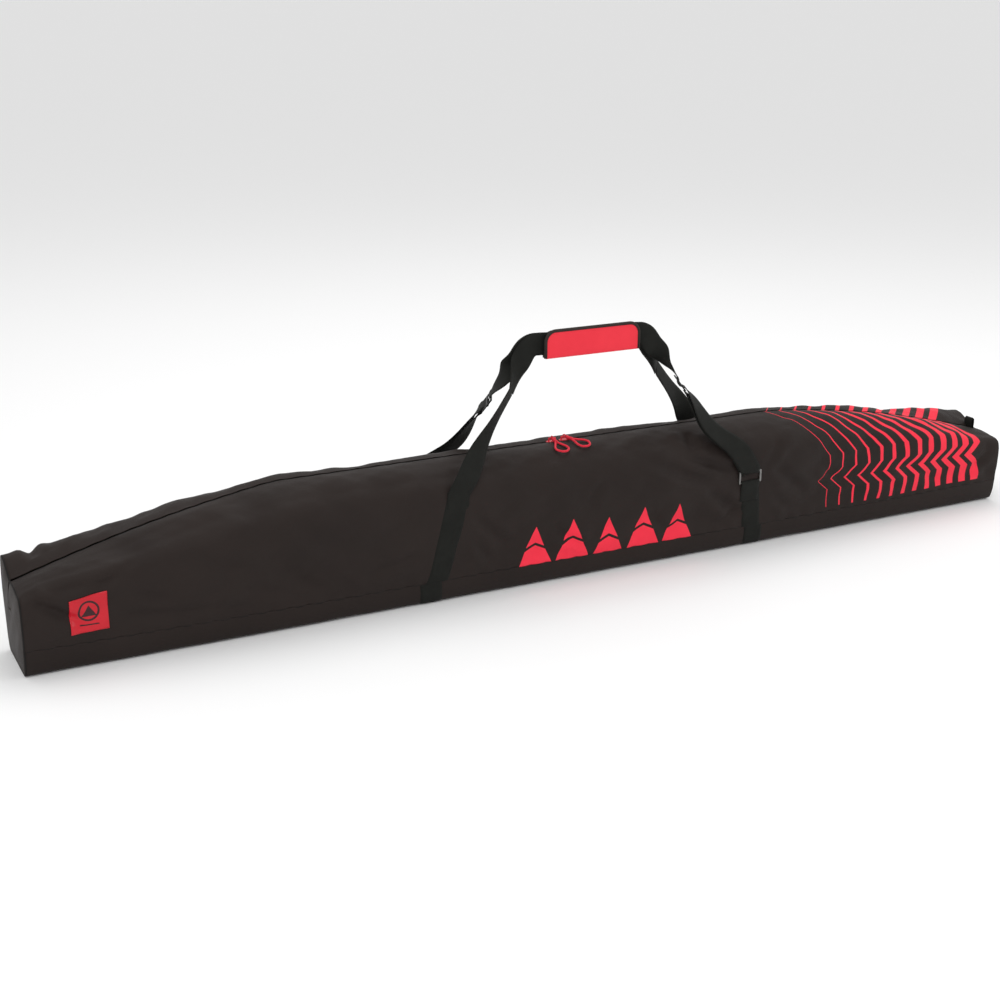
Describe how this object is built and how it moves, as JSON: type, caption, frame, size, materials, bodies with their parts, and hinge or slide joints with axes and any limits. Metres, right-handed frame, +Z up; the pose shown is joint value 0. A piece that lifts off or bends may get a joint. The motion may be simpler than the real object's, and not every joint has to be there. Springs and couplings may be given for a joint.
{
  "type": "ski bag",
  "caption": "Long single ski bag in brown-black cloth with a zipped mouth along its top, webbing bands, adjustable carry straps joined by a red hand wrap, and red cord zip pulls.",
  "frame": {"origin": "middle of the bag's length and depth, on the ground under its webbing bands", "axes": "+X along the bag towards the end with the pull tab, +Z up, -Y the printed front"},
  "size_m": [1.85, 0.1692, 0.418],
  "materials": {
    "cloth": "coated brown-black polyester, slight sheen",
    "webbing": "ribbed black polypropylene webbing",
    "tape": "black woven tape",
    "nylon": "black moulded nylon",
    "red_cloth": "red padded cloth",
    "red_cord": "red braided cord and red coated slider",
    "red_label": "glossy red rubber badge",
    "metal": "dark coated wire"
  },
  "bodies": {
    "bag": {"base_panel": "cloth", "end_panel_left": "cloth", "end_panel_right": "cloth", "front_panel": "cloth", "back_panel": "cloth", "end_binding_left": "tape", "end_binding_right": "tape", "front_seam_binding": "tape", "back_seam_binding": "tape", "zip_run_left": "tape", "zip_run_right": "tape", "zip_stop_left": "metal", "zip_stop_right": "metal", "sewn_band_left": "webbing", "sewn_band_right": "webbing", "front_plain_run": "webbing", "back_plain_run": "webbing", "front_doubled_run": "webbing", "back_doubled_run": "webbing", "end_tab": "webbing", "front_ring": "metal", "back_ring": "metal", "label_patch": "red_label"},
    "front_flap": {"front_mouth_flap": "cloth", "front_zip_tape": "tape", "front_zip_coil": "nylon"},
    "back_flap": {"back_mouth_flap": "cloth", "back_zip_tape": "tape", "back_zip_coil": "nylon"},
    "slider_left": {"zip_slider_left": "red_cord"},
    "slider_right": {"zip_slider_right": "red_cord"},
    "pull_left": {"cord_pull_left": "red_cord"},
    "pull_right": {"cord_pull_right": "red_cord"},
    "handle": {"front_strap": "webbing", "back_strap": "webbing", "front_adjuster": "nylon", "back_adjuster": "nylon", "wrap_sleeve": "red_cloth", "wrap_loop_tape": "tape"},
    "wrap_cover": {"wrap_flap": "red_cloth", "wrap_binding": "tape", "wrap_hook_tape": "tape"}
  },
  "joints": [
    {"name": "mouth_front", "type": "hinge", "parent": "bag", "child": "front_flap", "pos_m": [0, -0.07, 0.1818], "axis": [1, 0, 0], "range_deg": [0, 26]},
    {"name": "mouth_back", "type": "hinge", "parent": "bag", "child": "back_flap", "pos_m": [0, 0.07, 0.1818], "axis": [-1, 0, 0], "range_deg": [0, 26]},
    {"name": "zip_left", "type": "slide", "parent": "front_flap", "child": "slider_left", "axis": [1, 0, 0], "range_m": [-0.45, 0]},
    {"name": "zip_right", "type": "slide", "parent": "front_flap", "child": "slider_right", "axis": [1, 0, 0], "range_m": [0, 0.4]},
    {"name": "pull_left_swing", "type": "hinge", "parent": "slider_left", "child": "pull_left", "pos_m": [-0.024, 0, 0.2315], "axis": [-1, 0, 0], "range_deg": [0, 190]},
    {"name": "pull_right_swing", "type": "hinge", "parent": "slider_right", "child": "pull_right", "pos_m": [0, 0, 0.2315], "axis": [-1, 0, 0], "range_deg": [0, 190]},
    {"name": "handle_swing", "type": "hinge", "parent": "bag", "child": "handle", "pos_m": [0.04, 0, 0.245], "axis": [1, 0, 0], "range_deg": [-80, 60], "deforming": ["front_plain_run", "back_plain_run", "front_doubled_run", "back_doubled_run"]},
    {"name": "wrap_opening", "type": "hinge", "parent": "handle", "child": "wrap_cover", "pos_m": [0.047, -0.008, 0.371], "axis": [1, 0, 0], "range_deg": [0, 120]}
  ],
  "couplings": [
    {"joint": "mouth_back", "follows": "mouth_front", "ratio": 1}
  ]
}
